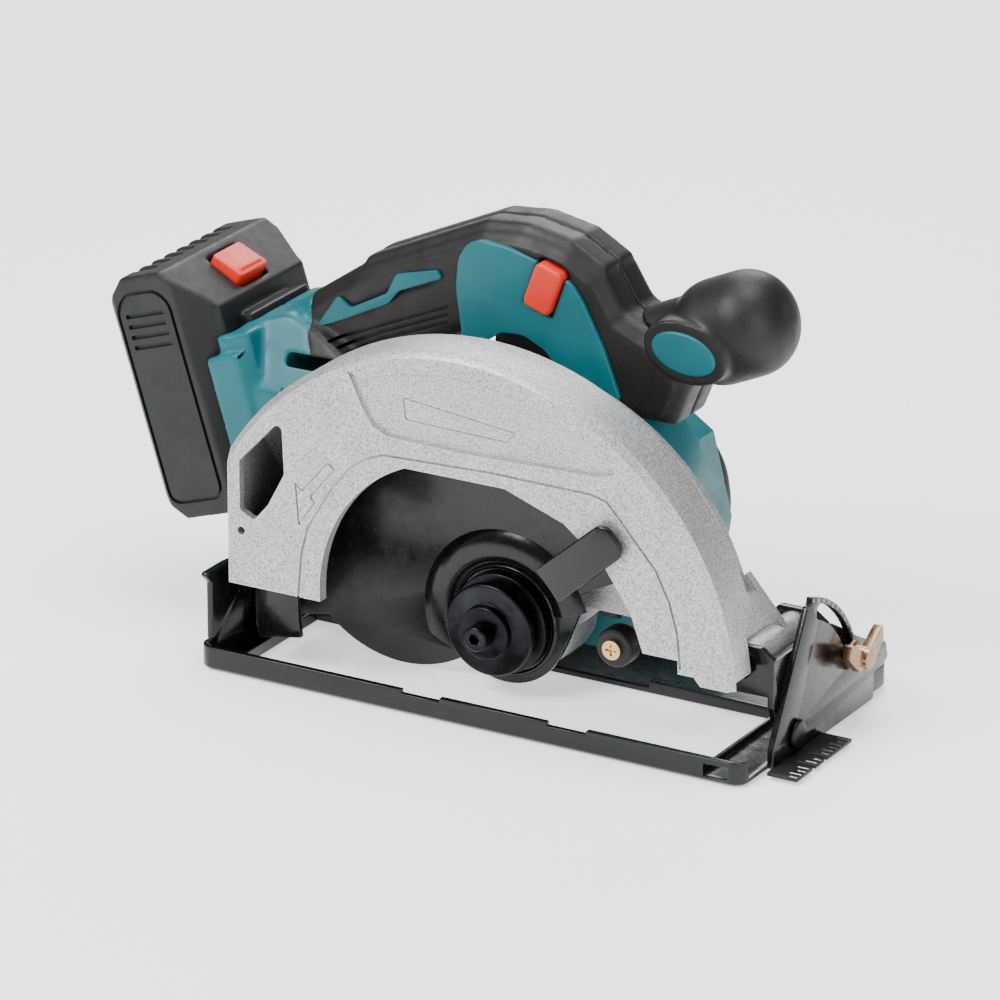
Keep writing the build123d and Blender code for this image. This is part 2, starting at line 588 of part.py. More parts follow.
def handle_body():
    body = rear_block() + grip_solid()
    hollow = grip_layer(5.5, GRIP_HALF - 4) & box((-60, 60), (0, 100), (104, 170))
    room = box((-100, -68), (18, 74), (56, 104))
    body -= hollow + room
    body -= along_y(outline(TRIGGER_WELL), HANDLE_Y - 8, HANDLE_Y + 8)
    body -= LOCK_TURN * box((-6.3, 6.3), (25, 40), (-9.3, 9.3))
    body -= rod_y(0, SPINDLE_Z, GUARD_FAR_R + 1.2, -50, GUIDE_Y[1] + 0.8)
    body -= box((GUARD_REAR_X - 2, -70), (0, GUIDE_Y[1] + 0.8), (0, 61))
    body -= box((-100, -40), (GUIDE_Y[0] - 0.8, GUIDE_Y[1] + 0.8), (0, 106))
    body -= grip_insert() + terminal_block()
    return body - along_y(outline(MOTOR_OUTLINE), 30, 66)


TRIGGER_WELL = [(-27, 110), (-27, 132), (9, 132), (9, 112)]
LOCK_X, LOCK_Z, LOCK_LEAN = 3.0, 146.0, 20.0
LOCK_TURN = Pos(LOCK_X, 0, LOCK_Z) * Rot(0, LOCK_LEAN, 0)


def handle_near(body):
    return body & box((-200, 200), (-50, HANDLE_Y), (0, 250))


def handle_far(body):
    return body & box((-200, 200), (HANDLE_Y, 150), (0, 250))


def grip_band():
    """Rubber strip over the top of the grip, laid on both halves."""
    top = [(-76, 140), (-45, 154), (-25, 163), (-8, 164.5), (10, 161), (24, 153)]
    lift = [(x, z + 2.0) for x, z in top]
    strip = outline(top + list(reversed(lift)))
    return along_y(strip, HANDLE_Y - 10.9, HANDLE_Y + 10.9) - grip_solid()


def knob():
    """Front knob: a bulb on a short neck, leaning forward."""
    bulb = Pos(71, HANDLE_Y, 138) * Rot(0, 66, 0) * Cylinder(19.5, 46)
    bulb = fillet(bulb.edges(), 17)
    neck = Pos(52, HANDLE_Y, 133) * Rot(0, 66, 0) * Cylinder(13, 30)
    whole = bulb + neck
    whole -= along_y(outline(GRIP_OUTLINE), 20, 72)
    return whole - knob_insert()


def knob_insert():
    """Coloured oval let into the near side of the knob."""
    oval = Pos(66, 135) * Rot(0, 0, 12) * Ellipse(10.5, 7)
    return along_y(oval, HANDLE_Y - 19.8, HANDLE_Y - 12)


def grip_insert():
    """Coloured zig-zag flash let into the near side of the grip."""
    flash = outline([(-92, 117), (-84, 128), (-79, 124.5), (-64, 133), (-60, 137), (-43, 143),
                     (-44, 138), (-62, 130.5), (-79, 121), (-83, 123.5)], 0.6)
    return along_y(flash, HANDLE_Y - GRIP_HALF - 0.8, HANDLE_Y - GRIP_HALF + 1.2)


def side_panel():
    """Coloured cover on the near side of the grip, around the lock-off button."""
    panel = outline([(-24, 127), (-33, 160), (-24, 161.5), (-2, 158), (22, 148), (30, 138), (44, 108),
                     (24, 108), (18, 116), (9, 125), (-12, 129)], 2)
    plate = along_y(panel & outline(GRIP_OUTLINE, 3), HANDLE_Y - GRIP_HALF - 1.6, HANDLE_Y - GRIP_HALF)
    return plate - LOCK_TURN * box((-6.3, 6.3), (25, 40), (-9.3, 9.3))


def trigger():
    """Pivoting trigger under the grip."""
    blade = outline([(-23, 127), (4, 127), (6, 117), (-2, 113.5), (-12, 115), (-22, 112), (-24, 115)], 1)
    body = along_y(blade, HANDLE_Y - 7, HANDLE_Y + 7)
    return body - rod_y(1, 123, 1.55, 30, 60)


def trigger_pin():
    return rod_y(1, 123, 1.5, HANDLE_Y - 8, HANDLE_Y + 8)


def lock_off_button():
    cap = box((-5.8, 5.8), (26, 34.5), (-8.8, 8.8))
    cap = fillet(cap.edges().filter_by(Axis.Y), 2.5)
    cap = fillet(cap.faces().sort_by(Axis.Y)[0].edges(), 1.2)
    return LOCK_TURN * cap


def switch_module():
    return box((-22, 8), (HANDLE_Y - 8, HANDLE_Y + 8), (134.5, 148))


def control_board():
    return box((-98, -72), (24, 68), (60, 62)) + box((-92, -80), (32, 44), (62, 68))


def terminal_block():
    """Contact block in the battery channel, with its two blades."""
    return LEAN * box((-78.5, -76), (34, 58), (92, 118))


def clamp_screws():
    """Screws that hold the handle halves together, driven from the far side."""
    group = []
    for x, z in ((-66, 118), (-38, 133), (22, 140), (40, 112)):
        group.append(rod_y(x, z, 3, HANDLE_Y + GRIP_HALF, HANDLE_Y + GRIP_HALF + 2))
    return group


# ---- battery ----------------------------------------------------------------------------
def battery_block():
    v0, v1 = BATTERY_V
    u0, u1 = BATTERY_U
    y0, y1 = BATTERY_Y
    side = outline([(v0, u0 + 9), (v0, u1 - 9), (v0 + 8.5, u1), (-102, u1), (v1, u1 - 18), (v1, u0),
                    (v0 + 8.5, u0)])
    plan = Polygon((v0, y0 + 3), (v0 + 3, y0), (-99, y0), (-89, y0 + 7), (v1, y0 + 8), (v1, y1 - 8),
                   (-89, y1 - 7), (-99, y1), (v0 + 3, y1), (v0, y1 - 3), align=None)
    return along_y(side, y0, y1) & extrude(Pos(0, 0, u0 - 1) * plan, amount=u1 - u0 + 2)


BATTERY_SPLIT_V = -108.0


def battery_shell(front):
    """One half of the battery case: front with the slide rail, rear with the end panels."""
    block = battery_block()
    v0, v1 = BATTERY_V
    room = box((v0 + 2, v1 - 2), (BATTERY_Y[0] + 9, BATTERY_Y[1] - 9), (BATTERY_U[0] + 2, BATTERY_U[1] - 2))
    room &= block
    room &= Pos(2.2, 0, 0) * block
    room &= Pos(-2.2, 0, 0) * block
    room -= box((-104, -80), (0, 100), (BATTERY_U[1] - 20, BATTERY_U[1] + 1))
    block -= room
    if front:
        rail = box((v1 - 1, -82), (30, 62), (BATTERY_U[0], 146))
        rail += box((-82, -79), (26, 66), (BATTERY_U[0], 146))
        block = (block & box((BATTERY_SPLIT_V, 0), (0, 100), (60, 180))) + rail
        block -= BUTTON_TURN * box((-10, 3), (-9.8, 9.8), (-8.4, 8.4))
    else:
        block &= box((-140, BATTERY_SPLIT_V), (0, 100), (60, 180))
    return LEAN * block


BUTTON_TURN = Pos(-94, 47.5, 161) * Rot(0, -48, 0)


def battery_button():
    """Release button on the sloping shoulder of the battery."""
    cap = box((-6, 2.4), (-9.3, 9.3), (-7, 7))
    cap = fillet(cap.edges().filter_by(Axis.X), 1.5)
    ridge = box((2, 3.2), (-7, 7), (-5, -3.4))
    return LEAN * (BUTTON_TURN * (cap + ridge))


def battery_cells():
    """Five round cells in a zig-zag row."""
    group = []
    for i in range(5):
        u = (BATTERY_U[0] + BATTERY_U[1]) / 2 + (i - 2) * 16.6
        v = -112.5 + (3.6 if i % 2 else -3.6)
        group.append(LEAN * rod_y(v, u, 8.9, 21, 74))
    return group


def battery_board():
    return LEAN * box((-94, -92.4), (24, 71), (84, 144))


# ---- locks ------------------------------------------------------------------------------
LOCK_PIVOT = polar(DEPTH_X, DEPTH_Z, DEPTH_R, 180 - DEPTH_LOCK_DEG)


def depth_lock_bolt():
    """Carriage bolt from the guard's lug through the depth guide."""
    x, z = LOCK_PIVOT
    return rod_y(x, z, 3.0, GUARD_SPLIT_Y, 34) + rod_y(x, z, 5.5, GUARD_SPLIT_Y - 2.5, GUARD_SPLIT_Y)


def depth_lock_lever():
    x, z = LOCK_PIVOT
    hub = ring_y(x, z, 3.06, 7, 23, 32)
    arm = outline([(x + 2, z - 5), (x + 2, z + 5), (x - 28, z + 8), (x - 30, z + 5), (x - 28, z)], 1)
    return hub + (along_y(arm, 27, 31) - rod_y(x, z, 4, 20, 40))


def shaft_lock_button():
    """Plunger at the front of the gear case that stops the spindle for a blade change."""
    return rod_x(25, SPINDLE_Z + 4, 2.9, 24, 36.5)


def build():
    keep("base_plate", base_plate())
    keep("front_quadrant", front_quadrant())
    keep("rear_quadrant", rear_quadrant())
    keep("line_guide", line_guide())
    keep("bevel_rivets", *bevel_rivets())
    keep("front_bracket", front_bracket())
    keep("rear_bracket", rear_bracket())
    keep("depth_guide", depth_guide())
    keep("depth_pivot_bolt", depth_pivot_bolt())
    keep("depth_pivot_nut", depth_pivot_nut())
    keep("bevel_wing_screw", bevel_wing_screw())
    keep("upper_guard", upper_guard())
    keep("guard_back", guard_back())
    keep("guard_screws", *guard_screws())
    keep("guard_bumper", guard_bumper())
    keep("guard_bumper_screw", guard_bumper_screw())
    keep("lower_guard", lower_guard())
    keep("lower_guard_lever", lower_guard_lever())
    keep("guard_spring", guard_spring())
    keep("bearing_retainer", bearing_retainer())
    keep("spindle", spindle())
    keep("spindle_gear", spindle_gear())
    keep("spindle_bearings", *spindle_bearings())
    keep("inner_flange", inner_flange())
    keep("outer_flange", outer_flange())
    keep("blade_bolt", blade_bolt())
    keep("rotor_shaft", rotor_shaft())
    keep("rotor_core", rotor_core())
    keep("rotor_bearings", *rotor_bearings())
    keep("stator", stator())
    keep("cooling_fan", cooling_fan())
    keep("gear_housing", gear_housing())
    keep("bearing_plate", bearing_plate())
    screws = motor_screws()
    housing = motor_housing()
    cap = motor_end_cap()
    for screw in screws:
        housing -= screw
        cap -= screw
    keep("motor_housing", housing)
    keep("motor_end_cap", cap)
    keep("motor_screws", *screws)
    body = handle_body()
    keep("handle_near", handle_near(body))
    keep("handle_far", handle_far(body))
    keep("grip_band", grip_band())
    keep("knob", knob())
    keep("knob_insert", knob_insert())
    keep("grip_insert", grip_insert())
    keep("side_panel", side_panel())
    keep("trigger", trigger())
    keep("trigger_pin", trigger_pin())
    keep("lock_off_button", lock_off_button())
    keep("switch_module", switch_module())
    keep("control_board", control_board())
    keep("terminal_block", terminal_block())
    keep("clamp_screws", *clamp_screws())
    keep("battery_front", battery_shell(True))
    keep("battery_rear", battery_shell(False))
    keep("battery_button", battery_button())
    keep("battery_cells", *battery_cells())
    keep("battery_board", battery_board())
    keep("depth_lock_bolt", depth_lock_bolt())
    keep("depth_lock_lever", depth_lock_lever())
    keep("shaft_lock_button", shaft_lock_button())


build()
os.makedirs("parts", exist_ok=True)
for name, shape in NODES.items():
    export_step(shape, "parts/" + name + ".step")
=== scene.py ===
import json
import math

import bmesh
import bpy
from mathutils import Matrix, Vector

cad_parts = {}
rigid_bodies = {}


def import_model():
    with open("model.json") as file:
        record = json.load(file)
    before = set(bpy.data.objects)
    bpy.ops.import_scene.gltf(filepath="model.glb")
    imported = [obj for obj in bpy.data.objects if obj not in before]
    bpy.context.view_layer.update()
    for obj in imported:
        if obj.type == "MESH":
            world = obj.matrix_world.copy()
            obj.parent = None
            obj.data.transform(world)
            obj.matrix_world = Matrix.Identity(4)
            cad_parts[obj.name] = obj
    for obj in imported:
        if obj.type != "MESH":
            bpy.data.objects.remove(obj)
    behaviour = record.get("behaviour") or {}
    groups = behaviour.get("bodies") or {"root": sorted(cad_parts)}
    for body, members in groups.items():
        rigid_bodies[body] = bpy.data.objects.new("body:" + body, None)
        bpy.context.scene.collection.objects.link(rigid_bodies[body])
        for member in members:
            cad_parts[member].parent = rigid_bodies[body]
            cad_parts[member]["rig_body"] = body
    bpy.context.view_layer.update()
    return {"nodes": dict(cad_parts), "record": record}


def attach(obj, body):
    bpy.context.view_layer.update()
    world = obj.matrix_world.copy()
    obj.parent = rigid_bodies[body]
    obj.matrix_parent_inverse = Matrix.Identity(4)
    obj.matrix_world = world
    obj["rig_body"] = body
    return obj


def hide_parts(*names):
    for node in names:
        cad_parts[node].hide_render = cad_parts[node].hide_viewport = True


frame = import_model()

# ---- places -----------------------------------------------------------------------------
# Lengths below are millimetres in the saw's drawing frame: X forward from the spindle,
# Y from the blade plane towards the motor, Z up from the sole.
MM = 0.001
ORIGIN_Y = 50.0
SPINDLE = (0.0, 26.0)
GUARD_FACE_Y = -30.0
HANDLE_Y = 46.0
BATTERY_LEAN = math.radians(17.46)


def at(x, y, z):
    """A drawing-frame place, in the row frame and in metres."""
    return Vector((x, y - ORIGIN_Y, z)) * MM


# ---- materials --------------------------------------------------------------------------
def new_material(name):
    material = bpy.data.materials.new(name)
    material.use_nodes = True
    tree = material.node_tree
    shader = tree.nodes["Principled BSDF"]
    return material, tree, shader


def node(tree, kind, **values):
    made = tree.nodes.new(kind)
    for key, value in values.items():
        if key in made.inputs:
            made.inputs[key].default_value = value
        else:
            setattr(made, key, value)
    return made


def noise(tree, scale, detail=4.0, rough=0.55, stretch=None):
    """Noise in the piece's own coordinates, with features of about 1/scale metres."""
    place = node(tree, "ShaderNodeTexCoord")
    source = place.outputs["Object"]
    if stretch:
        mapping = node(tree, "ShaderNodeMapping")
        mapping.inputs["Scale"].default_value = stretch
        tree.links.new(source, mapping.inputs["Vector"])
        source = mapping.outputs["Vector"]
    made = node(tree, "ShaderNodeTexNoise")
    made.inputs["Scale"].default_value = scale
    made.inputs["Detail"].default_value = detail
    made.inputs["Roughness"].default_value = rough
    tree.links.new(source, made.inputs["Vector"])
    return made.outputs["Fac"]


def ramp(tree, factor, low, high, start=0.3, end=0.7):
    """Colour ramp between two colours."""
    made = node(tree, "ShaderNodeValToRGB")
    made.color_ramp.elements[0].position = start
    made.color_ramp.elements[0].color = (*low, 1)
    made.color_ramp.elements[1].position = end
    made.color_ramp.elements[1].color = (*high, 1)
    tree.links.new(factor, made.inputs["Fac"])
    return made.outputs["Color"]


def spread(tree, factor, low, high):
    """Map a factor onto a range of values."""
    made = node(tree, "ShaderNodeMapRange")
    made.inputs["From Min"].default_value = 0.3
    made.inputs["From Max"].default_value = 0.7
    made.inputs["To Min"].default_value = low
    made.inputs["To Max"].default_value = high
    tree.links.new(factor, made.inputs["Value"])
    return made.outputs["Result"]


def bump(tree, shader, heights):
    """Stack bumps of (factor, strength, depth in metres) under the shader's normal."""
    normal = None
    for factor, strength, depth in heights:
        made = node(tree, "ShaderNodeBump")
        made.inputs["Strength"].default_value = strength
        made.inputs["Distance"].default_value = depth
        tree.links.new(factor, made.inputs["Height"])
        if normal:
            tree.links.new(normal, made.inputs["Normal"])
        normal = made.outputs["Normal"]
    tree.links.new(normal, shader.inputs["Normal"])


def edge_wear_and_highlight(tree, colour, edge_colour, amount=0.6, radius=0.0005):
    """Lighten the edges of a surface, where its normal differs from that of a rounded copy: partly wear,
    partly a painted highlight along every edge.
    """
    round_off = node(tree, "ShaderNodeBevel", Radius=radius)
    round_off.samples = 4
    geometry = node(tree, "ShaderNodeNewGeometry")
    dot = node(tree, "ShaderNodeVectorMath", operation="DOT_PRODUCT")
    tree.links.new(round_off.outputs["Normal"], dot.inputs[0])
    tree.links.new(geometry.outputs["Normal"], dot.inputs[1])
    mask = node(tree, "ShaderNodeMapRange")
    mask.inputs["From Min"].default_value = 0.985
    mask.inputs["From Max"].default_value = 0.9
    mask.inputs["To Max"].default_value = amount
    tree.links.new(dot.outputs["Value"], mask.inputs["Value"])
    # paler edge colour: partly wear, partly a painted highlight, the same under any light
    mix = node(tree, "ShaderNodeMix")
    mix.data_type = "RGBA"
    tree.links.new(mask.outputs["Result"], mix.inputs[0])
    tree.links.new(colour, mix.inputs[6])
    mix.inputs[7].default_value = (*edge_colour, 1)
    return mix.outputs[2]


def plastic(name, low, high, rough, grain=2600, depth=0.00006, strength=0.35):
    """Moulded plastic: faint mottling, a fine spark-eroded grain and uneven gloss."""
    material, tree, shader = new_material(name)
    cloud = noise(tree, 45, 3)
    fine = noise(tree, grain, 2, 0.6)
    tree.links.new(ramp(tree, cloud, low, high), shader.inputs["Base Color"])
    tree.links.new(spread(tree, noise(tree, 160, 4), rough - 0.06, rough + 0.07), shader.inputs["Roughness"])
    shader.inputs["Specular IOR Level"].default_value = 0.38
    bump(tree, shader, [(fine, strength, depth), (cloud, 0.08, 0.0006)])
    return material


def cast_metal(name):
    """Sand-blasted aluminium casting with a bright, sparkling grain."""
    material, tree, shader = new_material(name)
    # At this scale none of the guard's flat faces falls on a lattice plane of the noise.
    grit = noise(tree, 1730, 3, 0.7)
    patch = noise(tree, 60, 4)
    colour = ramp(tree, grit, (0.2, 0.2, 0.205), (0.64, 0.64, 0.65), 0.36, 0.62)
    shade = ramp(tree, patch, (0.9, 0.9, 0.9), (1, 1, 1))
    mix = node(tree, "ShaderNodeMix")
    mix.data_type = "RGBA"
    mix.blend_type = "MULTIPLY"
    mix.inputs[0].default_value = 1.0
    tree.links.new(colour, mix.inputs[6])
    tree.links.new(shade, mix.inputs[7])
    # pale edges: partly wear, partly a painted highlight along the casting's edges
    tree.links.new(edge_wear_and_highlight(tree, mix.outputs[2], (0.85, 0.85, 0.86), 0.5), shader.inputs["Base Color"])
    shader.inputs["Metallic"].default_value = 0.62
    tree.links.new(spread(tree, noise(tree, 700, 2), 0.36, 0.56), shader.inputs["Roughness"])
    bump(tree, shader, [(grit, 0.4, 0.00014), (patch, 0.1, 0.0008)])
    return material


def painted_steel(name):
    """Black paint over pressed steel, with paler edges that are partly wear and partly a painted highlight.
    """
    material, tree, shader = new_material(name)
    cloud = noise(tree, 80, 4)
    colour = ramp(tree, cloud, (0.003, 0.003, 0.0035), (0.006, 0.006, 0.0065))
    # paler edges: partly wear, partly a painted highlight on the black paint
    tree.links.new(edge_wear_and_highlight(tree, colour, (0.12, 0.12, 0.125), 0.5), shader.inputs["Base Color"])
    tree.links.new(spread(tree, noise(tree, 260, 5), 0.16, 0.3), shader.inputs["Roughness"])
    shader.inputs["Specular IOR Level"].default_value = 0.3
    shader.inputs["Coat Weight"].default_value = 0.12
    shader.inputs["Coat Roughness"].default_value = 0.12
    bump(tree, shader, [(noise(tree, 420, 3), 0.12, 0.0003), (cloud, 0.06, 0.001)])
    return material


def bare_metal(name, low, high, rough, edge=None, stretch=(1, 60, 1)):
    """Machined metal with tool marks along one direction and bright edges, partly wear and partly a painted
    highlight.
    """
    material, tree, shader = new_material(name)
    marks = noise(tree, 90, 4, 0.6, stretch)
    colour = ramp(tree, marks, low, high)
    if edge:
        # bright edges: partly wear, partly a painted highlight
        colour = edge_wear_and_highlight(tree, colour, edge, 0.5, 0.0003)
    tree.links.new(colour, shader.inputs["Base Color"])
    shader.inputs["Metallic"].default_value = 1.0
    tree.links.new(spread(tree, noise(tree, 300, 4), rough - 0.08, rough + 0.1), shader.inputs["Roughness"])
    bump(tree, shader, [(marks, 0.15, 0.0002)])
    return material


TEAL = ((0.0, 0.1, 0.121), (0.0, 0.117, 0.141))
BLACK = ((0.005, 0.005, 0.0055), (0.009, 0.009, 0.0095))
MATERIALS = {
    "teal_plastic": plastic("teal_plastic", *TEAL, 0.42, grain=1800),
    "black_plastic": plastic("black_plastic", *BLACK, 0.5, grain=1900, strength=0.5),
    "rubber_black": plastic("rubber_black", (0.004, 0.0038, 0.0037), (0.008, 0.0077, 0.0074), 0.5,
                            grain=1400, depth=0.00012, strength=0.6),
    "red_plastic": plastic("red_plastic", (0.62, 0.022, 0.008), (0.7, 0.03, 0.012), 0.42),
    "cast_aluminium": cast_metal("cast_aluminium"),
    "painted_steel": painted_steel("painted_steel"),
    "dark_steel": bare_metal("dark_steel", (0.012, 0.012, 0.013), (0.03, 0.03, 0.032), 0.34,
                             (0.45, 0.45, 0.46)),
    "plated_steel": bare_metal("plated_steel", (0.42, 0.42, 0.43), (0.6, 0.6, 0.6), 0.3),
    "brass": bare_metal("brass", (0.5, 0.3, 0.12), (0.68, 0.46, 0.22), 0.34, (0.8, 0.62, 0.36)),
    "bronze": bare_metal("bronze", (0.22, 0.13, 0.08), (0.42, 0.27, 0.17), 0.32, (0.7, 0.55, 0.42)),
    "motor_steel": bare_metal("motor_steel", (0.18, 0.18, 0.18), (0.32, 0.32, 0.32), 0.45,
                              stretch=(1, 300, 1)),
    "circuit_board": plastic("circuit_board", (0.01, 0.1, 0.04), (0.02, 0.16, 0.07), 0.35),
    "cell_wrap": plastic("cell_wrap", (0.06, 0.2, 0.45), (0.08, 0.24, 0.5), 0.3),
}


def dress(obj, slot):
    """Give a piece one of the materials above."""
    obj.data.materials.clear()
    obj.data.materials.append(MATERIALS[slot])


# ---- mesh work --------------------------------------------------------------------------
def evaluate(obj):
    """Apply every modifier of a piece to its mesh."""
    bpy.context.view_layer.update()
    graph = bpy.context.evaluated_depsgraph_get()
    mesh = bpy.data.meshes.new_from_object(obj.evaluated_get(graph))
    obj.modifiers.clear()
    obj.data = mesh


def show(mesh, name, body, slot, replaced=()):
    """Put a mesh in the scene as a piece that rides on a body."""
    obj = bpy.data.objects.new(name, mesh)
    bpy.context.scene.collection.objects.link(obj)
    dress(obj, slot)
    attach(obj, body)
    if replaced:
        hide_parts(*replaced)
    return obj


def node_mesh(name):
    """Copy of a CAD node's mesh, with its flat faces merged."""
    mesh = frame["nodes"][name].data.copy()
    form = bmesh.new()
    form.from_mesh(mesh)
    bmesh.ops.remove_doubles(form, verts=form.verts, dist=2e-6)
    bmesh.ops.dissolve_limit(form, angle_limit=math.radians(0.6), verts=form.verts, edges=form.edges)
    form.to_mesh(mesh)
    form.free()
    mesh.name = name + "_mesh"
    return mesh


def soften(obj, width, segments=2, angle=32):
    """Round the edges of a piece."""
    made = obj.modifiers.new("edges", "BEVEL")
    made.width = width * MM
    made.segments = segments
    made.limit_method = "ANGLE"
    made.angle_limit = math.radians(angle)
    made.use_clamp_overlap = True
    evaluate(obj)
    smooth(obj, 34)


def smooth(obj, angle):
    """Shade smooth, with sharp edges kept."""
    for face in obj.data.polygons:
        face.use_smooth = True
    obj.data.set_sharp_from_angle(angle=math.radians(angle))


def melt(obj, voxel, steps):
    """Turn a hard-edged solid into a moulded one: remesh it finely and smooth it."""
    made = obj.modifiers.new("remesh", "REMESH")
    made.mode = "VOXEL"
    made.voxel_size = voxel * MM
    evaluate(obj)
    made = obj.modifiers.new("smooth", "SMOOTH")
    made.factor = 0.5
    made.iterations = steps
    evaluate(obj)
    smooth(obj, 60)


def block(low, high, turn=None):
    """Box between two drawing-frame corners, turned by a matrix about the drawing origin."""
    form = bmesh.new()
    bmesh.ops.create_cube(form, size=1)
    size = Vector(high) - Vector(low)
    middle = (Vector(high) + Vector(low)) / 2
    for vert in form.verts:
        place = Vector((vert.co.x * size.x, vert.co.y * size.y, vert.co.z * size.z)) + middle
        if turn:
            place = turn @ place
        vert.co = at(*place)
    mesh = bpy.data.meshes.new("block")
    form.to_mesh(mesh)
    form.free()
    return mesh


def carve(obj, cutters, operation="DIFFERENCE"):
    """Cut meshes out of a piece, or keep only what they hold."""
    for mesh in cutters:
        tool = bpy.data.objects.new("tool", mesh)
        bpy.context.scene.collection.objects.link(tool)
        made = obj.modifiers.new("cut", "BOOLEAN")
        made.operation = operation
        made.solver = "EXACT"
        made.object = tool
        evaluate(obj)
        bpy.data.objects.remove(tool)


def refined(name, slot, width, segments=2):
    """Copy of a CAD node with rounded edges, standing for that node."""
    body = frame["nodes"][name]["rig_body"]
    obj = show(node_mesh(name), name + "_fine", body, slot, replaced=(name,))
    soften(obj, width, segments)
    return obj


# ---- carried-over nodes -----------------------------------------------------------------
RECORD_SLOT = {part["node"]: part["material_slot"] for part in frame["record"]["subparts"]}
for name, obj in frame["nodes"].items():
    dress(obj, RECORD_SLOT[name])


# ---- shapes drawn here ------------------------------------------------------------------
LEAN = Matrix.Rotation(-BATTERY_LEAN, 4, "Y")


def extruded(points, across, low, high, turn=None):
    """Solid from an outline in two of the axes, extruded along the third."""
    order = {"Y": (0, 2, 1), "Z": (0, 1, 2), "X": (1, 2, 0)}[across]
    form = bmesh.new()
    rings = []
    for level in (low, high):
        ring = []
        for a, b in points:
            place = [0.0, 0.0, 0.0]
            place[order[0]], place[order[1]], place[order[2]] = a, b, level
            place = Vector(place)
            ring.append(form.verts.new(at(*(turn @ place if turn else place))))
        rings.append(ring)
    count = len(points)
    form.faces.new(rings[0])
    form.faces.new(list(reversed(rings[1])))
    for i in range(count):
        j = (i + 1) % count
        form.faces.new((rings[0][j], rings[0][i], rings[1][i], rings[1][j]))
    bmesh.ops.recalc_face_normals(form, faces=form.faces)
    mesh = bpy.data.meshes.new("extruded")
    form.to_mesh(mesh)
    form.free()
    return mesh


def arc(u, v, radius, start, end, count=24):
    steps = [math.radians(start + (end - start) * i / (count - 1)) for i in range(count)]
    return [(u + radius * math.cos(a), v + radius * math.sin(a)) for a in steps]


def oval(u, v, long_r, short_r, tilt, count=40):
    """Points round an ellipse."""
    points = []
    c, s = math.cos(math.radians(tilt)), math.sin(math.radians(tilt))
    for i in range(count):
        a = 2 * math.pi * i / count
        x, z = long_r * math.cos(a), short_r * math.sin(a)
        points.append((u + c * x - s * z, v + s * x + c * z))
    return points


def rounded(points, radius, count=5):
    """Outline with every corner replaced by an arc."""
    result = []
    total = len(points)
    for i in range(total):
        corner = Vector(points[i])
        before = Vector(points[i - 1]) - corner
        after = Vector(points[(i + 1) % total]) - corner
        reach = min(radius, before.length * 0.45, after.length * 0.45)
        start, end = corner + before.normalized() * reach, corner + after.normalized() * reach
        for k in range(count + 1):
            t = k / count
            place = start * (1 - t) ** 2 + corner * (2 * t * (1 - t)) + end * t ** 2
            result.append(tuple(place))
    return result


def groove(points, width, low, high, closed=False, turn=None):
    """Bar of rectangular section that follows a line in X and Z, for cutting a groove."""
    form = bmesh.new()
    sections = []
    count = len(points)
    for i in range(count):
        here = Vector(points[i])
        back = Vector(points[i - 1] if closed or i else points[0])
        ahead = Vector(points[(i + 1) % count] if closed or i < count - 1 else points[i])
        side = (ahead - back).normalized().orthogonal() * width / 2
        section = []
        for x, z, y in ((*(here + side), low), (*(here - side), low), (*(here - side), high),
                        (*(here + side), high)):
            place = Vector((x, y, z))
            section.append(form.verts.new(at(*(turn @ place if turn else place))))
        sections.append(section)
    for i in range(count if closed else count - 1):
        first, second = sections[i], sections[(i + 1) % count]
        for k in range(4):
            m = (k + 1) % 4
            form.faces.new((first[k], first[m], second[m], second[k]))
    if not closed:
        form.faces.new(sections[0])
        form.faces.new(list(reversed(sections[-1])))
    bmesh.ops.recalc_face_normals(form, faces=form.faces)
    mesh = bpy.data.meshes.new("groove")
    form.to_mesh(mesh)
    form.free()
    return mesh


def closed_line(points, width, low, high):
    """One straight bar for each side of a closed outline."""
    return [groove([points[i - 1], points[i]], width, low, high) for i in range(len(points))]


def merged(meshes):
    """One mesh from several that don't touch."""
    form = bmesh.new()
    for mesh in meshes:
        form.from_mesh(mesh)
    result = bpy.data.meshes.new("merged")
    form.to_mesh(result)
    form.free()
    return result


def lathe(profile, centre, count=72):
    """Solid turned about a line along Y through centre (X, Z); profile holds (radius, Y)."""
    form = bmesh.new()
    rings = []
    for i in range(count):
        a = 2 * math.pi * i / count
        rings.append([form.verts.new(at(centre[0] + r * math.cos(a), y, centre[1] + r * math.sin(a)))
                      for r, y in profile])
    size = len(profile)
    for i in range(count):
        j = (i + 1) % count
        for k in range(size):
            m = (k + 1) % size
            form.faces.new((rings[i][k], rings[i][m], rings[j][m], rings[j][k]))
    bmesh.ops.recalc_face_normals(form, faces=form.faces)
    mesh = bpy.data.meshes.new("lathe")
    form.to_mesh(mesh)
    form.free()
    return mesh


# ---- refined pieces ---------------------------------------------------------------------
EDGE_WIDTHS = {
    "painted_steel": (("base_plate", 0.7), ("front_quadrant", 0.5), ("rear_quadrant", 0.5),
                      ("front_bracket", 0.5), ("rear_bracket", 0.5), ("depth_guide", 0.5),
                      ("lower_guard", 0.5), ("lower_guard_lever", 0.7)),
    "dark_steel": (("inner_flange", 0.5), ("outer_flange", 0.4), ("blade_bolt", 0.3),
                   ("depth_pivot_bolt", 0.3), ("depth_pivot_nut", 0.5), ("bevel_rivets", 0.8)),
    "bronze": (("bevel_wing_screw", 0.8),),
    "red_plastic": (("lock_off_button", 0.6), ("battery_button", 0.5)),
    "black_plastic": (("motor_end_cap", 0.6), ("depth_lock_lever", 1.0), ("trigger", 1.2)),
    "teal_plastic": (("motor_housing", 1.1),),
    "cast_aluminium": (("guard_back", 0.6), ("gear_housing", 0.5), ("bearing_plate", 0.4)),
}
for slot, entries in EDGE_WIDTHS.items():
    for name, width in entries:
        refined(name, slot, width)


